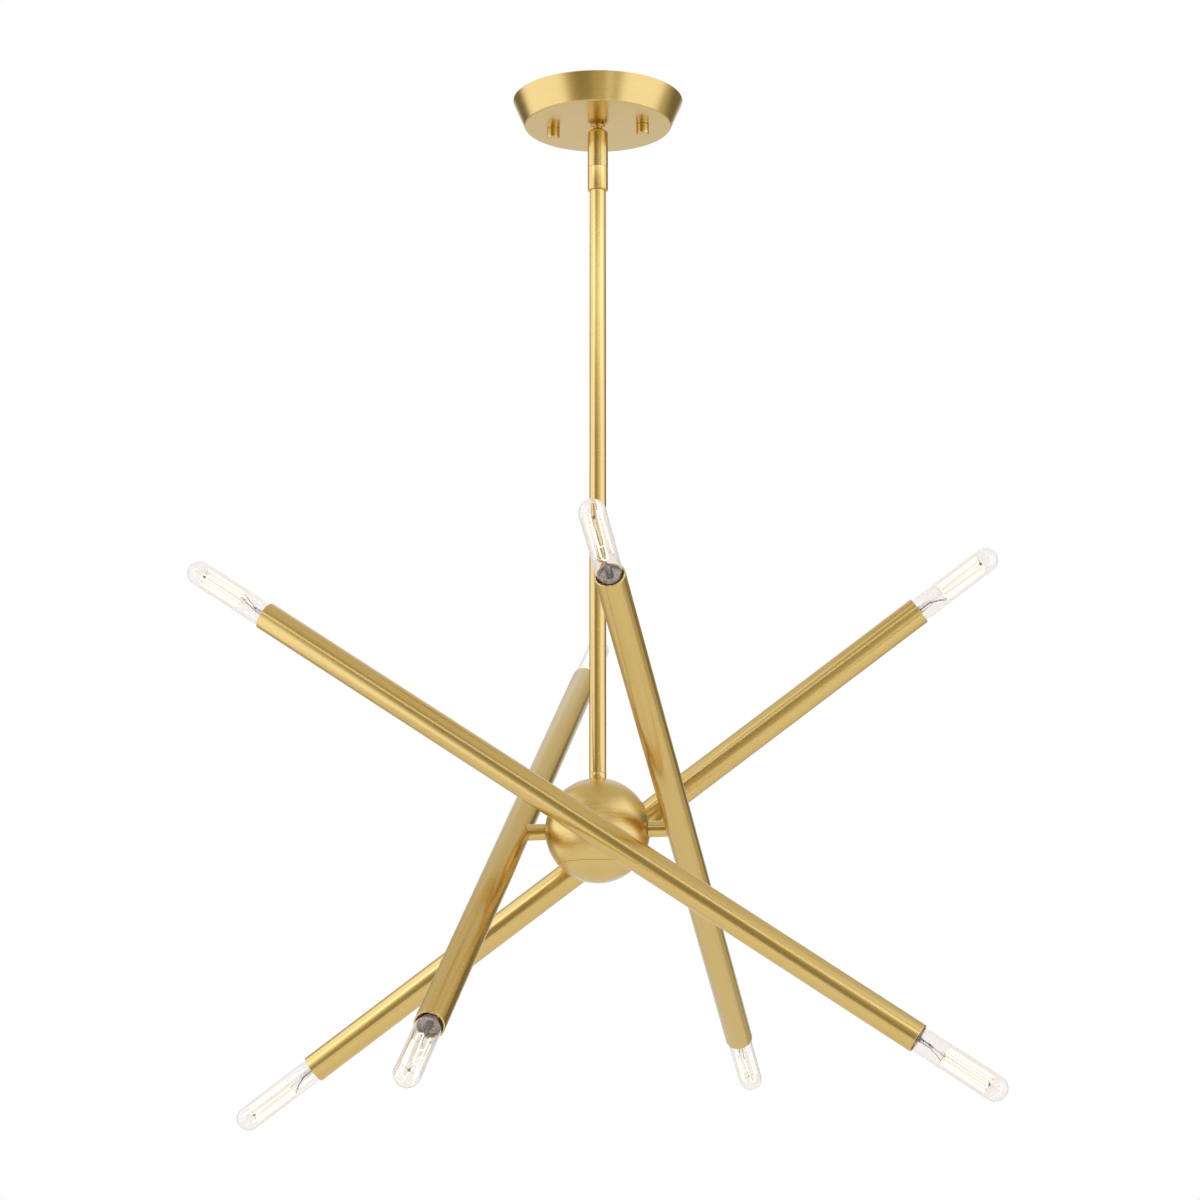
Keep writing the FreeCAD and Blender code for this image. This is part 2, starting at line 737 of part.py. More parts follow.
os.makedirs("parts", exist_ok=True)
for part in subparts:
    part.Shape.exportStep(f"parts/{part.Label}.step")
    solids = part.Shape.Solids
    print(f"{part.Label:26} {len(solids)} solids {part.Shape.Volume:12.1f} mm3")
print(len(subparts), "sub-parts, ball centre at", round(value(BALL), 2))
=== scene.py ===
"""A sputnik chandelier with satin brass tubes and long clear bulbs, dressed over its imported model.

Metres in Blender and in the panel; the other sizes below are millimetres. Each piece is drawn
about its own axis (Z) and then put in its place on the chandelier.
"""

import json
import math

import bpy
from bpy.props import FloatProperty, FloatVectorProperty, IntProperty, PointerProperty
from mathutils import Matrix, Vector


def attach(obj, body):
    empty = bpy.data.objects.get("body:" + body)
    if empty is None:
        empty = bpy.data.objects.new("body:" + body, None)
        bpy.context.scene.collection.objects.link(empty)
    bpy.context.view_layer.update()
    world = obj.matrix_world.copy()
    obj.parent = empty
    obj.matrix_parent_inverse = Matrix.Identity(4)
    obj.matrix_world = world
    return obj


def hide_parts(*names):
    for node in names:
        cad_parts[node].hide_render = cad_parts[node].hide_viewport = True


bl_info = {
    "name": "Sputnik chandelier",
    "version": (1, 0, 0),
    "blender": (4, 5, 0),
    "location": "3D View > Sidebar > Chandelier",
    "description": "Models and finishes a brass sputnik chandelier with tubular bulbs",
    "category": "Add Mesh",
}

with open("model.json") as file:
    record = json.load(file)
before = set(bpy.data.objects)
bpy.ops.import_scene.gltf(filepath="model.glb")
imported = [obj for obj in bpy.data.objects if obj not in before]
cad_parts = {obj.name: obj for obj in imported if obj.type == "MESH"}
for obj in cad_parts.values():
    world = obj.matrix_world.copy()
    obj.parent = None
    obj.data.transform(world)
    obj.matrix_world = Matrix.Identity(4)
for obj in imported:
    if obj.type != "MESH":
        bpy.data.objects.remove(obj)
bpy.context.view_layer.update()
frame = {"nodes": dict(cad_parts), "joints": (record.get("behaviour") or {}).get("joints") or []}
NODES = frame["nodes"]
JOINTS = {joint["name"]: joint for joint in frame["joints"]}

MM = 0.001
SIDES = ("front", "right", "back", "left")
ENDS = ("upper", "lower")

# heights of the parts' own zero planes and centres, from the ceiling
FACE = -21.0
SWIVEL = -27.54
CUP_FOOT = -54.6
STEM_FOOT = -529.1
BALL = -571.9

# how far each bulb is turned when it is screwed home, in degrees
SCREWED_HOME = {
    "front_upper": 40, "front_lower": 150, "right_upper": 200, "right_lower": 100,
    "back_upper": -90, "back_lower": 60, "left_upper": 20, "left_lower": 180,
}

# radii and distances that several pieces share
PIPE_HOLE = 4.93
SCREW_SPREAD = 35.0
CUP_RADIUS = 7.85
STEM_RADIUS = 6.35
STEM_BORE = 4.95
BALL_RADIUS = 39.0
FILAMENT_CAGE = 6.2
FILAMENT_FOOT = 22.0
FILAMENT_TOP = 58.0

# the photograph's view
CAMERA_PLACE = (0.30981, -2.26660, -0.87545)
CAMERA_AIM = (-0.131852, 0.969913, 0.204654)
CAMERA_LENS = 93.055
CAMERA_AZIMUTH = 7.8


# ---------------------------------------------------------------- places

def standing(height, across=0.0):
    """A place on the stem's line, or `across` from it along X."""
    return Matrix.Translation((across * MM, 0, height * MM))


def facing(out, along, where):
    """A place with Z along one direction and X along another."""
    along = Vector(along).normalized()
    out = Vector(out).normalized()
    turn = Matrix((out, along.cross(out), along)).transposed().to_4x4()
    return Matrix.Translation(where) @ turn


def arm_out(side):
    """The level direction from the ball to the middle of one arm."""
    return -Vector(JOINTS[f"{side}_arm_tilt"]["axis"])


def arm_place(side):
    """The middle of an arm's tube, with Z towards its upper end and -X towards the ball."""
    return facing(arm_out(side), JOINTS[f"{side}_upper_bulb_turn"]["axis"],
                  JOINTS[f"{side}_arm_tilt"]["pos_m"])


def mouth_place(side, end):
    """The mouth at one end of an arm, with Z pointing out of it."""
    turn = JOINTS[f"{side}_{end}_bulb_turn"]
    return facing(arm_out(side), turn["axis"], turn["pos_m"])


# ---------------------------------------------------------------- modelling

def deselect():
    """Leave edit mode with nothing selected."""
    if bpy.context.mode != "OBJECT":
        bpy.ops.object.mode_set(mode="OBJECT")
    bpy.ops.object.select_all(action="DESELECT")


def choose(*pieces):
    """Select these objects alone, the last one active."""
    deselect()
    for piece in pieces:
        piece.select_set(True)
    bpy.context.view_layer.objects.active = pieces[-1]


def polar(radius, degrees, height):
    """A point at a radius and an angle round Z."""
    angle = math.radians(degrees)
    return Vector((radius * math.cos(angle), radius * math.sin(angle), height))


def arc(centre, radius, start, stop, steps):
    """Points of an outline round a centre, from one angle to the other in degrees."""
    points = []
    for step in range(steps + 1):
        angle = math.radians(start + (stop - start) * step / steps)
        points.append((centre[0] + radius * math.cos(angle), centre[1] + radius * math.sin(angle)))
    return points


def softened(corners, steps=8):
    """An outline whose corners with a third item are rounded by it."""
    points = []
    for index, corner in enumerate(corners):
        if len(corner) == 2:
            points.append(corner)
            continue
        here = Vector(corner[:2])
        before = (Vector(corners[index - 1][:2]) - here).normalized()
        after = (Vector(corners[(index + 1) % len(corners)][:2]) - here).normalized()
        half = before.angle(after) / 2
        centre = here + (before + after).normalized() * corner[2] / math.sin(half)
        reach = corner[2] / math.tan(half)
        first = here + before * reach - centre
        last = here + after * reach - centre
        swing = first.angle_signed(last)
        for step in range(steps + 1):
            spoke = first.copy()
            spoke.rotate(Matrix.Rotation(-swing * step / steps, 2))
            points.append(tuple(centre + spoke))
    return points


def drawn(name, points):
    """A line of edges through points in mm, drawn by extruding one vertex, left in edit mode."""
    deselect()
    bpy.ops.mesh.primitive_plane_add(size=MM, enter_editmode=True, location=(0, 0, 0))
    piece = bpy.context.object
    piece.name = name
    piece.data.name = name
    bpy.ops.mesh.select_all(action="SELECT")
    bpy.ops.mesh.merge(type="CENTER")
    points = [Vector(point) * MM for point in points]
    bpy.ops.transform.translate(value=points[0])
    for before, after in zip(points, points[1:]):
        bpy.ops.mesh.extrude_region_move(TRANSFORM_OT_translate={"value": after - before})
    return piece


def turned(name, outline, closed=True, edge=0.0, faces=0):
    """A piece turned about Z from an outline of (radius, height) in mm.

    `closed` joins the outline's end to its start, and `edge` is the width of the bevel on its
    sharp edges.
    """
    sizes = bpy.context.scene.chandelier_sizes
    if closed:
        outline = list(outline) + [outline[0]]
    piece = drawn(name, [(radius, 0, height) for radius, height in outline])
    bpy.ops.mesh.select_all(action="SELECT")
    bpy.ops.mesh.spin(steps=faces or sizes.round_faces, angle=2 * math.pi, center=(0, 0, 0),
                      axis=(0, 0, 1))
    bpy.ops.mesh.select_all(action="SELECT")
    bpy.ops.mesh.remove_doubles(threshold=0.004 * MM)
    bpy.ops.mesh.normals_make_consistent(inside=False)
    bpy.ops.object.mode_set(mode="OBJECT")
    if edge:
        bevelled(piece, edge)
    return piece


def bevelled(piece, width, segments=3):
    """Soften a piece's sharp edges by a width in mm."""
    bevel = piece.modifiers.new("edge", "BEVEL")
    bevel.width = width * MM
    bevel.segments = segments
    bevel.limit_method = "ANGLE"
    bevel.angle_limit = math.radians(40)
    bevel.use_clamp_overlap = True
    applied(piece, bevel)


def applied(piece, modifier):
    """Make a modifier's result the piece's own mesh."""
    choose(piece)
    bpy.ops.object.modifier_apply(modifier=modifier.name)


def drilled(piece, drills):
    """Cut round holes, each (place, radius, length) in mm, through a piece."""
    for place, radius, length in drills:
        deselect()
        bpy.ops.mesh.primitive_cylinder_add(vertices=64, radius=radius * MM, depth=length * MM)
        drill = bpy.context.object
        drill.matrix_world = place
        choose(drill)
        bpy.ops.object.transform_apply(location=True, rotation=True, scale=True)
        hole = piece.modifiers.new("hole", "BOOLEAN")
        hole.operation = "DIFFERENCE"
        hole.solver = "EXACT"
        hole.object = drill
        applied(piece, hole)
        bpy.data.objects.remove(drill)


def wire(name, points, radius, faces=8):
    """A round wire of a radius in mm through points in mm."""
    piece = drawn(name, points)
    bpy.ops.object.mode_set(mode="OBJECT")
    choose(piece)
    bpy.ops.object.convert(target="CURVE")
    piece = bpy.context.object
    piece.data.bevel_depth = radius * MM
    piece.data.bevel_resolution = faces // 4
    piece.data.use_fill_caps = True
    bpy.ops.object.convert(target="MESH")
    return bpy.context.object


def joined(name, pieces):
    """Join pieces into one object."""
    choose(*pieces)
    bpy.ops.object.join()
    piece = bpy.context.object
    piece.name = name
    piece.data.name = name
    return piece


def lay_grain(piece, up):
    """A UV map in metres: round the axis, and along the surface by `up` of (radius, height)."""
    mesh = piece.data
    grain = mesh.uv_layers.new(name="grain")
    widest = max(vertex.co.xy.length for vertex in mesh.vertices)
    for face in mesh.polygons:
        first = None
        for loop in face.loop_indices:
            place = mesh.vertices[mesh.loops[loop].vertex_index].co
            angle = math.atan2(place.y, place.x)
            if first is None:
                first = angle
            angle += 2 * math.pi * round((first - angle) / (2 * math.pi))
            grain.data[loop].uv = (angle * widest, up(place.xy.length, place.z))


def along_axis(radius, height):
    """Distance along a straight piece."""
    return height


def over_turning(radius, height):
    """Distance over the steps of a turned piece, near enough for its brush lines."""
    return height + radius


def over_ball(radius, height):
    """Distance over the ball from its widest line."""
    return math.atan2(height, radius) * BALL_RADIUS * MM


def finished(piece, finish, grain=along_axis):
    """Shade a piece, give it its grain map, finish and slot, before it is put in place."""
    choose(piece)
    bpy.ops.object.shade_smooth_by_angle(angle=math.radians(35))
    lay_grain(piece, grain)
    piece.data.materials.clear()
    piece.data.materials.append(finish)
    return piece


def placed(piece, place, body, nodes=()):
    """Put a piece in its place in its mesh, to move with a body and stand for CAD nodes."""
    piece.matrix_world = place
    choose(piece)
    bpy.ops.object.transform_apply(location=True, rotation=True, scale=True)
    deselect()
    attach(piece, body)
    if nodes:
        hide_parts(*nodes)
    return piece


def copy_of(piece, name):
    """A copy with its own mesh."""
    copy = piece.copy()
    copy.data = piece.data.copy()
    copy.name = name
    copy.data.name = name
    bpy.context.scene.collection.objects.link(copy)
    return copy


def painted(finish, *names):
    """Give CAD nodes a finish."""
    for name in names:
        mesh = NODES[name].data
        mesh.materials.clear()
        mesh.materials.append(finish)


# ---------------------------------------------------------------- shader maths

class Value:
    """A socket of a node tree; arithmetic on it adds Math nodes."""

    def __init__(self, board, socket):
        self.board = board
        self.socket = socket

    def math(self, operation, *others):
        values = dict(enumerate((self,) + others))
        return self.board.add("ShaderNodeMath", {"operation": operation}, values)

    def __add__(self, other):
        return self.math("ADD", other)

    __radd__ = __add__

    def __mul__(self, other):
        return self.math("MULTIPLY", other)

    __rmul__ = __mul__

    def __sub__(self, other):
        return self.math("SUBTRACT", other)

    def __rsub__(self, other):
        return self * -1 + other

    def size(self):
        return self.math("ABSOLUTE")

    def greater(self, other):
        return self.math("MAXIMUM", other)

    def lesser(self, other):
        return self.math("MINIMUM", other)

    def ramp(self, start, stop):
        """From 0 at `start` to 1 at `stop`, smoothly."""
        return self.board.add("ShaderNodeMapRange", {"interpolation_type": "SMOOTHSTEP"},
                              {"Value": self, "From Min": start, "From Max": stop})

    def band(self, middle, half, soft):
        """1 within `half` of `middle`, falling to 0 over `soft`."""
        return (self - middle).size().ramp(half + soft, half)


class Board:
    """A node tree that is written from expressions."""

    def __init__(self, tree):
        self.tree = tree
        tree.nodes.clear()

    def add(self, kind, settings, sockets, output=0):
        """Add a node: its settings first, then the values or links of its sockets."""
        node = self.tree.nodes.new(kind)
        for key, setting in settings.items():
            setattr(node, key, setting)
        for key, value in sockets.items():
            if isinstance(value, Value):
                self.tree.links.new(value.socket, node.inputs[key])
            else:
                node.inputs[key].default_value = value
        return Value(self, node.outputs[output])

    def coordinates(self):
        return self.add("ShaderNodeTexCoord", {}, {}, "Object")

    def grain(self, across, along):
        """The piece's own grain map, so many waves to the metre each way."""
        uv = self.add("ShaderNodeUVMap", {"uv_map": "grain"}, {})
        return self.scaled(uv, (across, along, 1))

    def scaled(self, vector, scale):
        return self.add("ShaderNodeVectorMath", {"operation": "MULTIPLY"}, {0: vector, 1: scale})

    def noise(self, vector, scale=1.0, detail=3.0, roughness=0.55):
        return self.add("ShaderNodeTexNoise", {}, {
            "Vector": vector, "Scale": scale, "Detail": detail, "Roughness": roughness})

    def cells(self, vector, scale):
        """Distance from the middles of round cells."""
        return self.add("ShaderNodeTexVoronoi", {"feature": "F1"}, {
            "Vector": vector, "Scale": scale}, "Distance")

    def split(self, vector):
        node = self.tree.nodes.new("ShaderNodeSeparateXYZ")
        self.tree.links.new(vector.socket, node.inputs[0])
        return [Value(self, output) for output in node.outputs]

    def mixed(self, factor, first, second):
        """A mix of two colours."""
        node = self.tree.nodes.new("ShaderNodeMix")
        node.data_type = "RGBA"
        for index, value in ((0, factor), (6, first), (7, second)):
            if isinstance(value, Value):
                self.tree.links.new(value.socket, node.inputs[index])
            else:
                node.inputs[index].default_value = value if index == 0 else shade(value)
        return Value(self, node.outputs[2])

    def bump(self, height, depth, strength=1.0):
        return self.add("ShaderNodeBump", {}, {
            "Height": height, "Distance": depth, "Strength": strength})

    def surface(self, **sockets):
        """A Principled surface, with socket names written with underscores."""
        named = {key.replace("_", " "): value for key, value in sockets.items()}
        return self.add("ShaderNodeBsdfPrincipled", {}, named)

    def finish(self, surface):
        """End a material's tree in its output."""
        output = self.tree.nodes.new("ShaderNodeOutputMaterial")
        self.tree.links.new(surface.socket, output.inputs["Surface"])


def shade(colour):
    """A colour with its alpha."""
    colour = tuple(colour)
    return colour if len(colour) == 4 else colour + (1.0,)


def tinted(colour, factor):
    """A colour made lighter or darker."""
    return [part * factor for part in colour[:3]]


def new_finish(name):
    material = bpy.data.materials.new(name)
    material.use_nodes = True
    return material, Board(material.node_tree)


# ---------------------------------------------------------------- finishes

def brass(name, across, along, depth=1.0, wear=1.0):
    """Lacquered satin brass, brushed with so many lines to the metre of its grain map."""
    colours = bpy.context.scene.chandelier_colours
    material, board = new_finish(name)
    coarse = board.noise(board.grain(across * 0.16, along * 0.16), detail=2.0)
    fine = board.noise(board.grain(across, along), detail=4.0, roughness=0.65)
    place = board.coordinates()
    cloud = board.noise(place, scale=14.0, detail=3.0)
    smudge = board.noise(place, scale=46.0, detail=4.0).ramp(0.56, 0.78) * wear
    streak = coarse * 0.6 + fine * 0.4
    tint = (streak * 0.6 + cloud * 0.35 + 0.02).lesser(1.0).greater(0.0)
    colour = board.mixed(tint, colours.brass_deep, colours.brass_pale)
    roughness = streak * 0.12 + smudge * 0.04 + cloud * 0.04 + colours.brass_roughness - 0.1
    normal = board.bump(fine, 0.00001 * depth, 0.5)
    board.finish(board.surface(
        Base_Color=colour, Metallic=1.0, Roughness=roughness, Normal=normal,
        Coat_Weight=0.22, Coat_Roughness=0.12, Coat_IOR=1.45))
    return material


def brass_by_place(name, height_lines):
    """The same brass for CAD pieces, with its fine lines by place."""
    colours = bpy.context.scene.chandelier_colours
    material, board = new_finish(name)
    place = board.coordinates()
    lines = board.noise(board.scaled(place, (120, 120, height_lines)), detail=3.0)
    cloud = board.noise(place, scale=30.0, detail=3.0)
    colour = board.mixed((lines * 0.6 + cloud * 0.4).ramp(0.25, 0.75), colours.brass_deep,
                         colours.brass_pale)
    board.finish(board.surface(
        Base_Color=colour, Metallic=1.0, Roughness=lines * 0.12 + cloud * 0.08 + 0.12,
        Normal=board.bump(lines, 0.00002, 0.4), Coat_Weight=0.22, Coat_Roughness=0.1))
    return material


def plated_steel():
    """Zinc-plated steel, with its faint spangle."""
    material, board = new_finish("plated_steel")
    place = board.coordinates()
    spangle = board.cells(place, 420.0)
    haze = board.noise(place, scale=180.0, detail=4.0)
    colour = board.mixed(haze, (0.50, 0.51, 0.50), (0.68, 0.67, 0.63))
    board.finish(board.surface(
        Base_Color=colour, Metallic=1.0, Roughness=haze * 0.2 + spangle * 0.12 + 0.2,
        Normal=board.bump(haze, 0.00002, 0.4)))
    return material


def green_paint():
    """The ground screw's green paint."""
    material, board = new_finish("green_paint")
    haze = board.noise(board.coordinates(), scale=260.0, detail=4.0)
    colour = board.mixed(haze, (0.03, 0.20, 0.06), (0.07, 0.34, 0.12))
    board.finish(board.surface(Base_Color=colour, Roughness=haze * 0.2 + 0.25,
                               Normal=board.bump(haze, 0.00003, 0.4), Coat_Weight=0.4))
    return material


def moulded_plastic():
    """The brown-grey moulding of the lampholders, speckled by its filler."""
    colours = bpy.context.scene.chandelier_colours
    material, board = new_finish("moulded_plastic")
    place = board.coordinates()
    cloud = board.noise(place, scale=260.0, detail=4.0)
    speck = board.cells(place, 900.0)
    mottle = (cloud * 0.7 + speck * 0.45).ramp(0.25, 0.75)
    colour = board.mixed(mottle, tinted(colours.holder, 0.45), tinted(colours.holder, 1.35))
    board.finish(board.surface(Base_Color=colour, Roughness=cloud * 0.25 + 0.45,
                               Normal=board.bump(mottle, 0.00012, 0.6)))
    return material


def bulb_brass():
    """Thin drawn brass of the bulbs' screw shells."""
    material, board = new_finish("bulb_brass")
    haze = board.noise(board.coordinates(), scale=240.0, detail=4.0)
    colour = board.mixed(haze, (0.46, 0.36, 0.19), (0.74, 0.63, 0.40))
    board.finish(board.surface(Base_Color=colour, Metallic=1.0, Roughness=haze * 0.25 + 0.2,
                               Normal=board.bump(haze, 0.00004, 0.5)))
    return material


def clear_glass():
    """The bulbs' glass: clear, with a painted warm glow in its tint beside the filament, and the
    ripple and dust of drawn glass.
    """
    colours = bpy.context.scene.chandelier_colours
    material, board = new_finish("clear_glass")
    ripple = board.noise(board.grain(60.0, 18.0), detail=1.0)
    dust = board.noise(board.coordinates(), scale=620.0, detail=3.0).ramp(0.62, 0.85)
    height = board.split(board.grain(1.0, 1.0))[1]
    middle = (FILAMENT_FOOT + FILAMENT_TOP) / 2
    # painted glow: the glass tint is warmed in a band at the filament's height, standing in for the
    # filament's light
    painted_glow_band = height.band(middle * MM, 0.019, 0.004)
    tint = board.mixed(painted_glow_band, colours.glass, colours.glass_painted_glow)
    thick = [part ** 1.6 for part in colours.glass[:3]]
    tint = board.mixed(ripple.ramp(0.35, 0.65) * 0.25, tint, thick)
    board.finish(board.surface(
        Base_Color=tint, Roughness=dust * 0.01, IOR=1.52, Transmission_Weight=1.0,
        Normal=board.bump(ripple, 0.00002, 0.1)))
    return material


def pressed_glass():
    """The milky glass of the stem press and rod inside a bulb."""
    material, board = new_finish("pressed_glass")
    seeds = board.noise(board.coordinates(), scale=900.0, detail=4.0)
    colour = board.mixed(seeds, (0.80, 0.78, 0.78), (0.96, 0.95, 0.95))
    board.finish(board.surface(
        Base_Color=colour, Roughness=seeds * 0.1 + 0.03, IOR=1.5, Transmission_Weight=0.96,
        Normal=board.bump(seeds, 0.00005, 0.3)))
    return material


def mica():
    """The mottled grey-brown mica disc that keeps the filament's heat from the base."""
    material, board = new_finish("mica")
    place = board.coordinates()
    flake = board.cells(place, 620.0)
    cloud = board.noise(place, scale=420.0, detail=4.0, roughness=0.75)
    mottle = (flake * 0.5 + cloud * 0.9 - 0.15).ramp(0.3, 0.62)
    colour = board.mixed(mottle, (0.05, 0.033, 0.033), (0.52, 0.42, 0.42))
    board.finish(board.surface(Base_Color=colour, Roughness=cloud * 0.3 + 0.3,
                               Normal=board.bump(mottle, 0.0001, 0.5)))
    return material


def mount_wire():
    """Dark nickel wire of the leads and hooks."""
    material, board = new_finish("mount_wire")
    stain = board.noise(board.coordinates(), scale=1400.0, detail=3.0)
    colour = board.mixed(stain, (0.10, 0.075, 0.065), (0.34, 0.29, 0.26))
    board.finish(board.surface(Base_Color=colour, Metallic=1.0, Roughness=stain * 0.3 + 0.25))
    return material


def glowing_wire():
    """The lit filament, whiter in spots along its coil."""
    colours = bpy.context.scene.chandelier_colours
    material, board = new_finish("glowing_wire")
    coil = board.noise(board.coordinates(), scale=700.0, detail=2.0)
    colour = board.mixed(coil.ramp(0.25, 0.75), colours.glow,
                         [min(1.0, part * 1.12 + 0.05) for part in colours.glow[:3]])
    board.finish(board.surface(
        Base_Color=(0.6, 0.5, 0.35, 1.0), Roughness=0.5, Emission_Color=colour,
        Emission_Strength=colours.glow_strength))
    return material


FINISH_MAKERS = {
    "tube brass": lambda: brass("tube_brass", 5200.0, 36.0),
    "turned brass": lambda: brass("turned_brass", 50.0, 3600.0, depth=4.0),
    "ball brass": lambda: brass("ball_brass", 40.0, 2200.0, depth=26.0, wear=1.4),
    "small brass": lambda: brass_by_place("small_brass", 2400.0),
    "plated steel": plated_steel,
    "green paint": green_paint,
    "moulded plastic": moulded_plastic,
    "bulb brass": bulb_brass,
    "clear glass": clear_glass,
    "pressed glass": pressed_glass,
    "mica": mica,
    "mount wire": mount_wire,
    "glowing wire": glowing_wire,
}
FINISHES = {}


def finish_named(name):
    """Each finish is mixed once, when a piece first asks for it."""
    if name not in FINISHES:
        FINISHES[name] = FINISH_MAKERS[name]()
    return FINISHES[name]


# ---------------------------------------------------------------- what a user would change

class ChandelierSizes(bpy.types.PropertyGroup):
    """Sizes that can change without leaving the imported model."""
    round_faces: IntProperty(
        name="Faces round a turning", description="How finely turned pieces are divided",
        default=96, min=24, max=256)
    edge_width: FloatProperty(
        name="Edge softening", description="Width of the bevel on the stem's edges",
        subtype="DISTANCE", unit="LENGTH", default=0.0003, min=0.00005, max=0.0006, precision=5)
    strands: IntProperty(
        name="Filament strands", description="How many times the filament runs up and down",
        default=8, min=4, max=16)
    strand_radius: FloatProperty(
        name="Filament thickness", description="Radius of the coiled filament",
        subtype="DISTANCE", unit="LENGTH", default=0.00045, min=0.0001, max=0.0006, precision=5)


class ChandelierColours(bpy.types.PropertyGroup):
    """Colours and finishes of the chandelier and its stage."""
    brass_pale: FloatVectorProperty(
        name="Pale brass", description="The brass where it was brushed brightest",
        subtype="COLOR", size=3, min=0, max=1, default=(0.76, 0.57, 0.228))
    brass_deep: FloatVectorProperty(
        name="Deep brass", description="The brass in the hollows of its grain",
        subtype="COLOR", size=3, min=0, max=1, default=(0.62, 0.425, 0.136))
    brass_roughness: FloatProperty(
        name="Brass roughness", description="How soft reflections are in the satin brass",
        subtype="FACTOR", default=0.25, min=0.05, max=0.8)
    holder: FloatVectorProperty(
        name="Lampholder", description="The lampholders' moulding",
        subtype="COLOR", size=3, min=0, max=1, default=(0.19, 0.13, 0.115))
    glass: FloatVectorProperty(
        name="Glass", description="Tint of the bulbs' glass",
        subtype="COLOR", size=3, min=0, max=1, default=(0.965, 0.94, 0.928))
    # painted glow: the glass tint where the lit filament's light is painted in
    glass_painted_glow: FloatVectorProperty(
        name="Glass by the filament", description="Tint of the glass where the filament lights it",
        subtype="COLOR", size=3, min=0, max=1, default=(0.968, 0.918, 0.862))
    glow: FloatVectorProperty(
        name="Glow", description="Colour of the lit filament",
        subtype="COLOR", size=3, min=0, max=1, default=(1.0, 0.92, 0.70))
    glow_strength: FloatProperty(
        name="Glow strength", description="Brightness of the lit filament",
        default=1.35, min=0.0, max=20.0)
    floor: FloatVectorProperty(
        name="Floor", description="The pale floor",
        subtype="COLOR", size=3, min=0, max=1, default=(0.72, 0.71, 0.68))


# ---------------------------------------------------------------- pieces

class ChandelierPiece:
    """What the chandelier's operators share."""
    bl_options = {"REGISTER", "UNDO"}

    def execute(self, context):
        self.make(context.scene.chandelier_sizes)
        return {"FINISHED"}


class CHANDELIER_OT_canopy(ChandelierPiece, bpy.types.Operator):
    """Spin the canopy's pan, with its rounded face edge and its drilled holes"""
    bl_idname = "chandelier.canopy"
    bl_label = "Canopy"

    def make(self, sizes):
        rim, face, wall, screw_hole = 66.0, 56.8, 1.2, 2.3
        outline = softened([
            (PIPE_HOLE, FACE),
            (face, FACE, 1.6),
            (rim, 0.0, 0.25),
            (rim - wall, 0.0, 0.25),
            (face - wall, FACE + wall, 1.0),
            (PIPE_HOLE, FACE + wall),
        ])
        pan = turned("canopy_pan", outline, faces=160)
        drilled(pan, [(standing(FACE, sign * SCREW_SPREAD), screw_hole, 10) for sign in (1, -1)])
        finished(pan, finish_named("turned brass"), over_turning)
        placed(pan, standing(0), "canopy", ["canopy_shell"])


class CHANDELIER_OT_knobs(ChandelierPiece, bpy.types.Operator):
    """Turn the two round knobs that hold the canopy up"""
    bl_idname = "chandelier.knobs"
    bl_label = "Canopy knobs"

    def make(self, sizes):
        radius, length, bore, floor = 4.9, 8.0, 2.08, 2.0
        outline = softened([
            (bore, 0.0),
            (bore, floor - length),
            (0.0, floor - length),
            (0.0, -length),
            (radius, -length, 1.2),
            (radius, 0.0, 0.35),
        ])
        knob = turned("knob_turning", outline, faces=64)
        finished(knob, finish_named("turned brass"), over_turning)
        for side, sign in (("right", 1), ("left", -1)):
            copy = copy_of(knob, f"knob_{side}_turned")
            placed(copy, standing(FACE, sign * SCREW_SPREAD), f"knob_{side}",
                   [f"canopy_knob_{side}"])
        bpy.data.objects.remove(knob)


class CHANDELIER_OT_fittings(ChandelierPiece, bpy.types.Operator):
    """Finish the bar, screws and nuts inside the canopy, ball and tubes"""
    bl_idname = "chandelier.fittings"
    bl_label = "Inside fittings"

    def make(self, sizes):
        painted(finish_named("plated steel"), "ceiling_bar", "canopy_screws", "canopy_screw_nuts",
                "stud_nut", "stem_nipple", "stem_nipple_nut", "swivel_pins",
                *[f"{side}_arm_nipple" for side in SIDES])
        painted(finish_named("green paint"), "ground_screw")
        painted(finish_named("small brass"), "swivel_ball_stud", "stud_collar")


class CHANDELIER_OT_swivel(ChandelierPiece, bpy.types.Operator):
    """Turn the swivel's cup, hollowed for the ball and cross-drilled for the pins"""
    bl_idname = "chandelier.swivel"
    bl_label = "Swivel cup"

    def make(self, sizes):
        top, length, rounding = 3.44, 30.5, 3.0
        cavity, pin_hole = 6.15, 1.08
        foot = top - length
        mouth = math.degrees(math.asin(top / cavity))
        outline = [(CUP_RADIUS, foot), (cavity, foot)] + arc((0, 0), cavity, 0, mouth, 8)
        outline += arc((CUP_RADIUS - rounding, top - rounding), rounding, 85.2, 0, 12)
        cup = turned("cup_turned", outline, faces=96)
        pins = JOINTS["swivel_pin_swing"]["axis"]
        drilled(cup, [(facing((0, 0, 1), pins, (0, 0, 0)), pin_hole, 40)])
        bevelled(cup, 0.25)
        finished(cup, finish_named("turned brass"), over_turning)
        placed(cup, standing(SWIVEL), "stem", ["swivel_cup"])


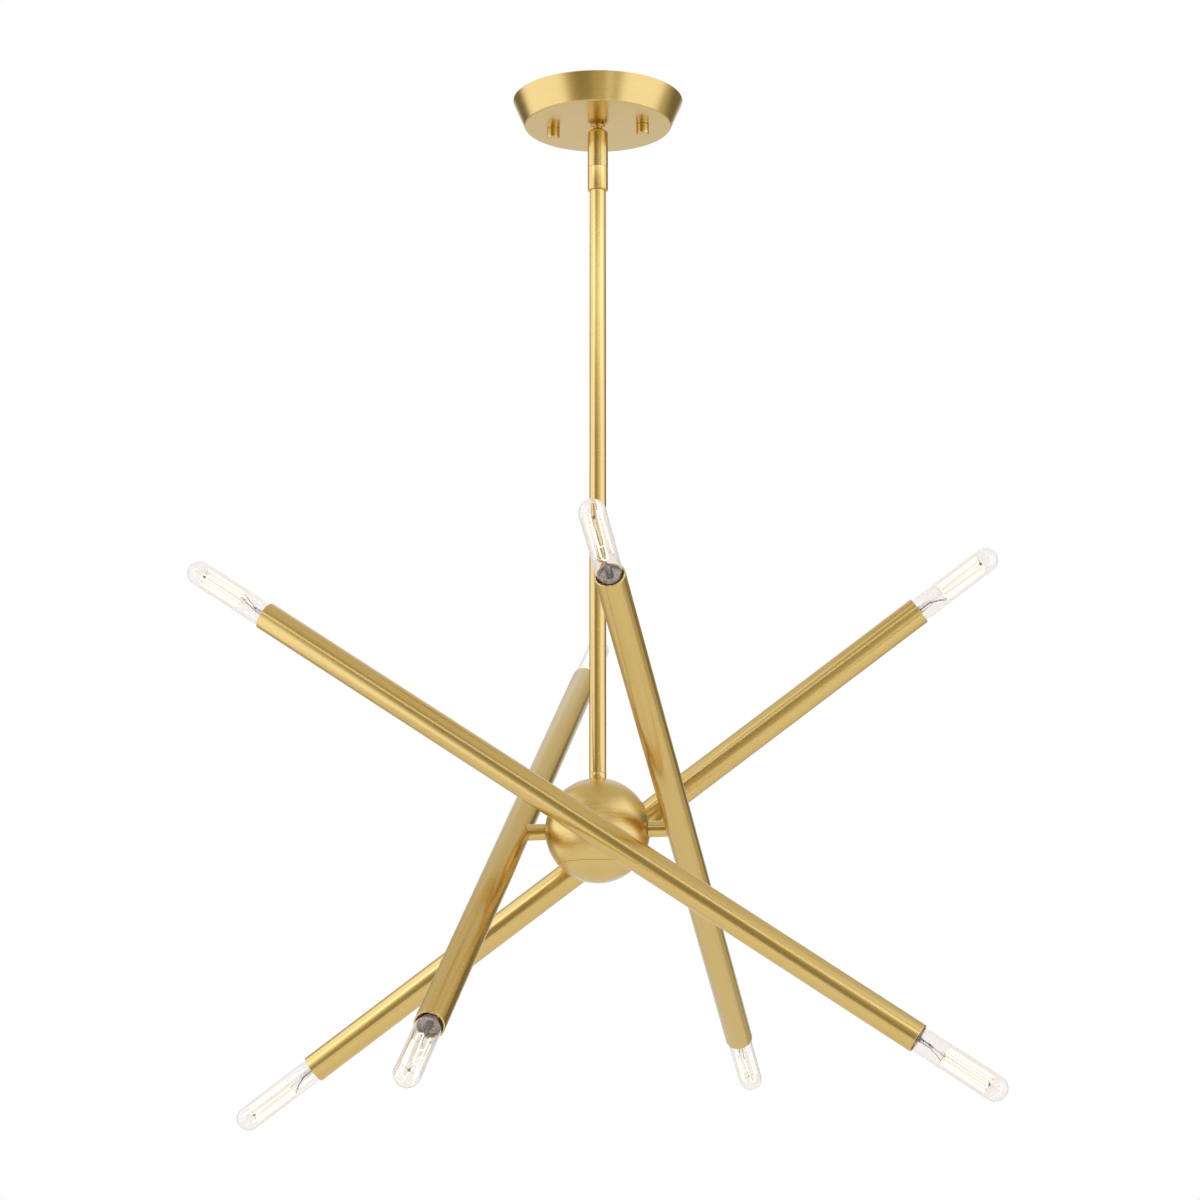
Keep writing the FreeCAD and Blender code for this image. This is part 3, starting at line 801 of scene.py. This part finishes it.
class CHANDELIER_OT_stem(ChandelierPiece, bpy.types.Operator):
    """Turn the stem's socket, tube and foot collar"""
    bl_idname = "chandelier.stem"
    bl_label = "Stem"

    def make(self, sizes):
        length, stop, spigot = 18.7, 4.7, 11.0
        bore, spigot_radius, wire_way = 6.4, 6.1, 3.25
        socket = turned("socket_turned", softened([
            (bore, -length),
            (CUP_RADIUS, -length, 0.7),
            (CUP_RADIUS, 0.0, 0.3),
            (spigot_radius, 0.0),
            (spigot_radius, spigot),
            (wire_way, spigot),
            (wire_way, -stop),
            (bore, -stop),
        ]))
        finished(socket, finish_named("tube brass"), along_axis)
        placed(socket, standing(CUP_FOOT), "stem", ["stem_socket"])
        reach = 469.8
        tube = turned("stem_drawn", [
            (STEM_RADIUS, 0.0),
            (STEM_RADIUS, reach),
            (STEM_BORE, reach),
            (STEM_BORE, 0.0),
        ], edge=sizes.edge_width / MM)
        finished(tube, finish_named("tube brass"), along_axis)
        placed(tube, standing(STEM_FOOT), "stem", ["stem_tube"])
        seat = BALL_RADIUS + 0.05
        top = BALL_RADIUS + 3.8
        collar = turned("collar_turned", [
            (STEM_BORE, math.sqrt(seat ** 2 - STEM_BORE ** 2)),
            (STEM_RADIUS, math.sqrt(seat ** 2 - STEM_RADIUS ** 2)),
            (STEM_RADIUS, top),
            (STEM_BORE, top),
        ], edge=0.2)
        finished(collar, finish_named("tube brass"), along_axis)
        placed(collar, standing(BALL), "stem", ["foot_collar"])


class CHANDELIER_OT_ball(ChandelierPiece, bpy.types.Operator):
    """Turn the ball and its cap, with the fine groove of the seam between them"""
    bl_idname = "chandelier.ball"
    bl_label = "Ball"

    def make(self, sizes):
        outside, wall, seam = BALL_RADIUS, 1.4, -25.0
        inside = outside - wall
        both = (outside, inside)
        hole, inner_hole = [math.degrees(math.acos(PIPE_HOLE / size)) for size in both]
        low, inner_low = [math.degrees(math.asin(seam / size)) for size in both]
        outline = arc((0, 0), outside, low, hole, 80)
        outline += arc((0, 0), inside, inner_hole, inner_low, 50)
        shell = turned("ball_turned", outline, faces=160)
        outs = [arm_out(side) for side in SIDES]
        holes = [facing((0, 0, 1), out, out * outside * MM) for out in outs]
        drilled(shell, [(place, PIPE_HOLE, 30) for place in holes])
        bevelled(shell, 0.4)
        finished(shell, finish_named("ball brass"), over_ball)
        placed(shell, standing(BALL), "stem", ["ball_shell"])
        lip, lip_height, lip_wall, seam_gap = 28.03, 6, 1.1, 0.15
        lip_inside = lip - lip_wall
        inner_angle = -math.degrees(math.acos(lip_inside / inside))
        lip_top = seam + lip_height
        outline = arc((0, 0), outside, -90, low - seam_gap, 40)
        outline += [(lip, outline[-1][1]), (lip, lip_top), (lip_inside, lip_top)]
        outline += arc((0, 0), inside, inner_angle, -90, 30)
        cap = turned("cap_turned", outline, faces=160, edge=0.4)
        finished(cap, finish_named("ball brass"), over_ball)
        placed(cap, standing(BALL), "stem", ["ball_cap"])


class CHANDELIER_OT_arms(ChandelierPiece, bpy.types.Operator):
    """Draw one long tube with softened lips and copy it round the ball, and finish the posts"""
    bl_idname = "chandelier.arms"
    bl_label = "Arms"

    def make(self, sizes):
        radius, bore, half, post_hole = 10.75, 9.55, 290.0, 4.9
        near = 8.0  # extra edges by the post's hole, so that its cut stays local
        tube = turned("tube_drawing", softened([
            (radius, -half, 0.45), (radius, -near), (radius, near), (radius, half, 0.45),
            (bore, half, 0.3), (bore, near), (bore, -near), (bore, -half, 0.3),
        ], 4))
        toward_ball = facing((0, 0, 1), (-1, 0, 0), (-radius * MM, 0, 0))
        drilled(tube, [(toward_ball, post_hole, 10)])
        finished(tube, finish_named("tube brass"), along_axis)
        for side in SIDES:
            copy = copy_of(tube, f"{side}_tube_drawn")
            placed(copy, arm_place(side), f"{side}_arm", [f"{side}_arm_tube"])
            painted(finish_named("small brass"), f"{side}_arm_post")
        bpy.data.objects.remove(tube)


class CHANDELIER_OT_lampholders(ChandelierPiece, bpy.types.Operator):
    """Turn the moulded holder that lines each mouth"""
    bl_idname = "chandelier.lampholders"
    bl_label = "Lampholders"

    def make(self, sizes):
        radius, top, foot = 9.5, -4.0, -31.6
        mouth, step = 7.2, -9.4
        bore, floor = 5.93, -27.6
        outline = softened([
            (0.0, foot),
            (radius, foot, 0.4),
            (radius, top, 0.5),
            (mouth, top, 0.4),
            (mouth, step),
            (bore, step),
            (bore, floor),
            (0.0, floor),
        ], 5)
        holder = turned("holder_moulding", outline, faces=64)
        finished(holder, finish_named("moulded plastic"), along_axis)
        for side in SIDES:
            for end in ENDS:
                copy = copy_of(holder, f"{side}_{end}_holder_moulded")
                placed(copy, mouth_place(side, end), f"{side}_arm")
            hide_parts(f"{side}_lampholders")
        bpy.data.objects.remove(holder)


class CHANDELIER_OT_bulbs(ChandelierPiece, bpy.types.Operator):
    """Make the long clear bulbs: glass, screw base, stem press, hooks and lit filament"""
    bl_idname = "chandelier.bulbs"
    bl_label = "Bulbs"

    def make(self, sizes):
        parts = {
            "glass_drawn": (self.glass(), ["bulb_glass"]),
            "glass_press": (self.press(), []),
            "mica_disc": (self.disc(), []),
            "mount_wires": (self.wires(sizes), []),
            "filament_lit": (self.filament(sizes), ["bulb_filament"]),
        }
        for side in SIDES:
            for end in ENDS:
                bulb = f"{side}_{end}"
                painted(finish_named("bulb brass"), f"{bulb}_bulb_base")
                turn = Matrix.Rotation(math.radians(SCREWED_HOME[bulb]), 4, "Z")
                for name, (piece, nodes) in parts.items():
                    copy = copy_of(piece, f"{bulb}_{name}")
                    placed(copy, mouth_place(side, end) @ turn, f"{bulb}_bulb",
                           [f"{bulb}_{node}" for node in nodes])
        for piece, _ in parts.values():
            bpy.data.objects.remove(piece)

    def glass(self):
        """The closed glass, from its narrow neck over a shoulder to a round top."""
        radius, reach, wall, neck, foot = 9.3, 72.0, 0.6, 5.9, -8.0
        straight = 20.0
        dome = reach - radius
        outer = softened([(neck, foot), (neck, -4.6, 1.5), (8.35, -0.9, 2.5), (radius, 4.8, 6.0),
                          (radius, straight)], 8)[:-1]
        outer += arc((0, dome), radius, 0, 90, 24)
        inner = arc((0, dome), radius - wall, 90, 0, 24)
        inner += softened([(radius - wall, straight), (radius - wall, 4.9, 5.4), (7.75, -0.7, 2.8),
                           (neck - wall, -4.4, 1.2), (neck - wall, foot)], 8)[1:]
        glass = turned("glass_drawing", outer + inner, faces=72)
        return finished(glass, finish_named("clear glass"), along_axis)

    def disc(self):
        """The disc in the neck, with a hole for the press."""
        hole, radius, low, high = 2.9, 7.2, -1.5, -1.1
        outline = softened([(hole, low), (radius, low, 0.1), (radius, high, 0.1), (hole, high)], 3)
        disc = turned("disc_stamping", outline, faces=48)
        return finished(disc, finish_named("mica"), along_axis)

    def press(self):
        """The glass stem, with the thin rod on it that carries the upper hooks."""
        outline = softened([
            (5.2, -8.0), (5.0, -7.2), (2.7, -4.0, 1.5), (2.2, 4.0), (2.0, 9.0), (1.6, 11.0, 0.6),
            (0.55, 11.6), (0.45, 12.4), (0.4, 59.0), (0.0, 59.2),
        ], 4)
        press = turned("press_drawing", outline + [(0.0, -8.0)], faces=24)
        self.pinch(press)
        return finished(press, finish_named("pressed glass"), along_axis)

    def pinch(self, press):
        """Flatten the top of the stem, as it is pressed on the leads while hot."""
        choose(press)
        bpy.ops.object.mode_set(mode="EDIT")
        bpy.ops.mesh.select_all(action="DESELECT")
        bpy.ops.object.mode_set(mode="OBJECT")
        for vertex in press.data.vertices:
            vertex.select = 3.0 * MM < vertex.co.z < 11.3 * MM
        bpy.ops.object.mode_set(mode="EDIT")
        bpy.ops.transform.resize(value=(1.25, 0.55, 1.0), center_override=(0, 0, 0))
        bpy.ops.object.mode_set(mode="OBJECT")

    def wires(self, sizes):
        """The leads from the press to the cage, and the hooks on the rod that spread it."""
        step = 360 / sizes.strands
        pieces = []
        for sign in (1, -1):
            course = [(1.3, 90, -6.0), (1.3, 90, 7.5), (1.0, 80, 9.5), (1.4, 60, 11.3),
                      (2.2, 40, 13.0), (3.0, 30, 16.0), (4.6, step / 2, 18.5),
                      (5.7, step / 2, 20.4), (FILAMENT_CAGE, step / 2, FILAMENT_FOOT)]
            pieces.append(wire("lead", [
                polar(radius, sign * turn, height) for radius, turn, height in course], 0.24))
        knot = softened([(0.0, 56.9), (0.9, 56.9, 0.3), (1.1, 58.9, 0.5), (0.0, 58.9)], 4)
        pieces.append(turned("knot", knot, faces=16))
        for number in range(sizes.strands):
            top = number % 2 == 0
            angle = step * (number + 1)
            if not top and number == sizes.strands - 1:
                continue
            start, stop, rise = (58.0, 57.6, 0.9) if top else (21.5, 22.2, -0.9)
            pieces.append(wire("hook", [
                polar(0.3, angle, start), polar(3.4, angle, start + 0.3 * rise),
                polar(5.9, angle, stop + rise * 0.6), polar(6.55, angle, stop + 0.1 * rise),
                polar(6.35, angle, stop - rise),
            ], 0.14, 4))
        wires = joined("wires_drawing", pieces)
        return finished(wires, finish_named("mount wire"), along_axis)

    def filament(self, sizes):
        """One wire up and down round the cage, bent over the hooks."""
        step = 360 / sizes.strands
        points = [polar(FILAMENT_CAGE, step / 2, FILAMENT_FOOT)]
        for number in range(sizes.strands):
            angle = step * (number + 0.5)
            top = number % 2 == 0
            if not top and number == sizes.strands - 1:
                points.append(polar(FILAMENT_CAGE, angle, FILAMENT_FOOT))
                continue
            turn, back = (FILAMENT_TOP, -1) if top else (FILAMENT_FOOT, 1)
            for across, short in ((0.0, 1.6), (0.2, 0.4), (0.5, 0.0), (0.8, 0.4)):
                points.append(polar(FILAMENT_CAGE, angle + step * across, turn + back * short))
        strand = wire("filament_drawing", points, sizes.strand_radius / MM)
        return finished(strand, finish_named("glowing wire"), along_axis)


class CHANDELIER_OT_stage(ChandelierPiece, bpy.types.Operator):
    """Set the pale floor, the soft studio light and the camera"""
    bl_idname = "chandelier.stage"
    bl_label = "Stage"

    def make(self, sizes):
        self.floor()
        self.studio()
        self.softbox("key", where=(-2.1, -2.0, 0.5), size=(1.3, 1.9), power=26.0)
        self.softbox("fill", where=(2.5, -1.2, -0.1), size=(1.0, 2.2), power=14.0)
        self.softbox("top", where=(0.5, -0.6, 2.6), size=(0.5, 0.5), power=45.0)
        self.camera()

    def floor(self):
        """A pale floor under the light, clear when seen from below."""
        colours = bpy.context.scene.chandelier_colours
        deselect()
        bpy.ops.mesh.primitive_circle_add(vertices=96, radius=2.2, fill_type="NGON",
                                          location=(0, 0, -1.55))
        floor = bpy.context.object
        floor.name = "floor"
        bpy.ops.object.transform_apply(location=True)
        material, board = new_finish("pale_floor")
        cloud = board.noise(board.coordinates(), scale=1.3, detail=5.0)
        colour = board.mixed(cloud, tinted(colours.floor, 0.985), colours.floor)
        top = board.surface(Base_Color=colour, Roughness=cloud * 0.1 + 0.6)
        below = board.add("ShaderNodeNewGeometry", {}, {}, "Backfacing")
        board.finish(board.add("ShaderNodeMixShader", {}, {
            0: below, 1: top, 2: board.add("ShaderNodeBsdfTransparent", {}, {})}))
        floor.data.materials.append(material)

    def softbox(self, name, where, size, power):
        """A soft lamp for the shadows, in watts; the brass reflects the studio's screens only."""
        light = bpy.data.lights.new(name, "AREA")
        light.shape = "RECTANGLE"
        light.size, light.size_y = size
        light.energy = power
        lamp = bpy.data.objects.new(name, light)
        bpy.context.scene.collection.objects.link(lamp)
        lamp.location = where
        lamp.visible_glossy = False
        middle = Vector((0, 0, -0.5))
        toward = middle - Vector(where)
        lamp.rotation_euler = toward.to_track_quat("-Z", "Y").to_euler()

    def studio(self):
        """White for camera and transmission rays; for the rest, screens round the object.

        Azimuths are in degrees from the camera, to its right: two bright screens, a darker room
        between them with one thin bright strip, and dark flags beside the pale backdrop. A
        bright shelf runs level over the camera, and the ceiling is a little lighter.
        """
        world = bpy.data.worlds.new("studio")
        bpy.context.scene.world = world
        world.use_nodes = True
        board = Board(world.node_tree)
        across, back, up = board.split(board.coordinates())
        turn = across.math("ARCTAN2", back * -1.0) * (180 / math.pi) - CAMERA_AZIMUTH
        turn = turn + turn.math("LESS_THAN", -180.0) * 360
        screens = turn.band(-86.0, 32.0, 14.0).greater(turn.band(68.0, 27.0, 14.0))
        gloom = turn.band(-22.0, 9.0, 9.0)
        strip = turn.band(17.0, 2.0, 2.5)
        shelf = up.band(0.44, 0.035, 0.04) * turn.size().ramp(80.0, 60.0)
        flags = turn.size().band(137.0, 14.0, 12.0) * up.band(0.15, 0.17, 0.1)
        ceiling = up.ramp(0.45, 0.75)
        backdrop = turn.size().ramp(150.0, 168.0)
        middle = 1 - up.size().ramp(0.6, 0.9)
        level = screens * 0.82 - gloom * 0.25 + strip * 0.7 - flags * 0.38 + backdrop * 0.26
        level = level * middle + shelf * 1.3 + ceiling * 0.15 + 0.57
        warmth = level.ramp(0.95, 0.5)
        glow = board.mixed(warmth, (0.97, 1.0, 1.10), (1.0, 0.90, 0.60))
        rays = board.tree.nodes.new("ShaderNodeLightPath")
        seen = Value(board, rays.outputs["Is Camera Ray"]).greater(
            Value(board, rays.outputs["Is Transmission Ray"]))
        light = board.add("ShaderNodeBackground", {}, {
            "Color": board.mixed(seen, glow, (1.0, 1.0, 1.0)),
            "Strength": level * (1 - seen) + seen})
        output = board.tree.nodes.new("ShaderNodeOutputWorld")
        board.tree.links.new(light.socket, output.inputs["Surface"])

    def camera(self):
        """The photograph's view, looking slightly up at the light."""
        scene = bpy.context.scene
        view = bpy.data.cameras.new("photo_view")
        view.sensor_width = 36.0
        view.lens = CAMERA_LENS
        view.clip_end = 100.0
        camera = bpy.data.objects.new("photo_view", view)
        scene.collection.objects.link(camera)
        camera.location = CAMERA_PLACE
        camera.rotation_euler = Vector(CAMERA_AIM).to_track_quat("-Z", "Y").to_euler()
        scene.camera = camera
        scene.view_settings.view_transform = "Standard"


# ---------------------------------------------------------------- the add-on

PIECES = (
    CHANDELIER_OT_canopy, CHANDELIER_OT_knobs, CHANDELIER_OT_fittings, CHANDELIER_OT_swivel,
    CHANDELIER_OT_stem, CHANDELIER_OT_ball, CHANDELIER_OT_arms, CHANDELIER_OT_lampholders,
    CHANDELIER_OT_bulbs, CHANDELIER_OT_stage,
)


class CHANDELIER_PT_panel(bpy.types.Panel):
    """The chandelier's pieces, sizes and colours"""
    bl_label = "Chandelier"
    bl_idname = "CHANDELIER_PT_panel"
    bl_space_type = "VIEW_3D"
    bl_region_type = "UI"
    bl_category = "Chandelier"

    def draw(self, context):
        layout = self.layout
        for group in (context.scene.chandelier_sizes, context.scene.chandelier_colours):
            box = layout.box()
            for name in group.__annotations__:
                box.prop(group, name)
        for piece in PIECES:
            layout.operator(piece.bl_idname)


CLASSES = (ChandelierSizes, ChandelierColours) + PIECES + (CHANDELIER_PT_panel,)


def register():
    for entry in CLASSES:
        bpy.utils.register_class(entry)
    bpy.types.Scene.chandelier_sizes = PointerProperty(type=ChandelierSizes)
    bpy.types.Scene.chandelier_colours = PointerProperty(type=ChandelierColours)


def unregister():
    del bpy.types.Scene.chandelier_sizes
    del bpy.types.Scene.chandelier_colours
    for entry in reversed(CLASSES):
        bpy.utils.unregister_class(entry)


def main():
    """Make every piece in order."""
    register()
    for piece in PIECES:
        group, name = piece.bl_idname.split(".")
        if getattr(getattr(bpy.ops, group), name)() != {"FINISHED"}:
            raise RuntimeError(f"{piece.bl_label} wasn't made")


if __name__ == "__main__":
    main()
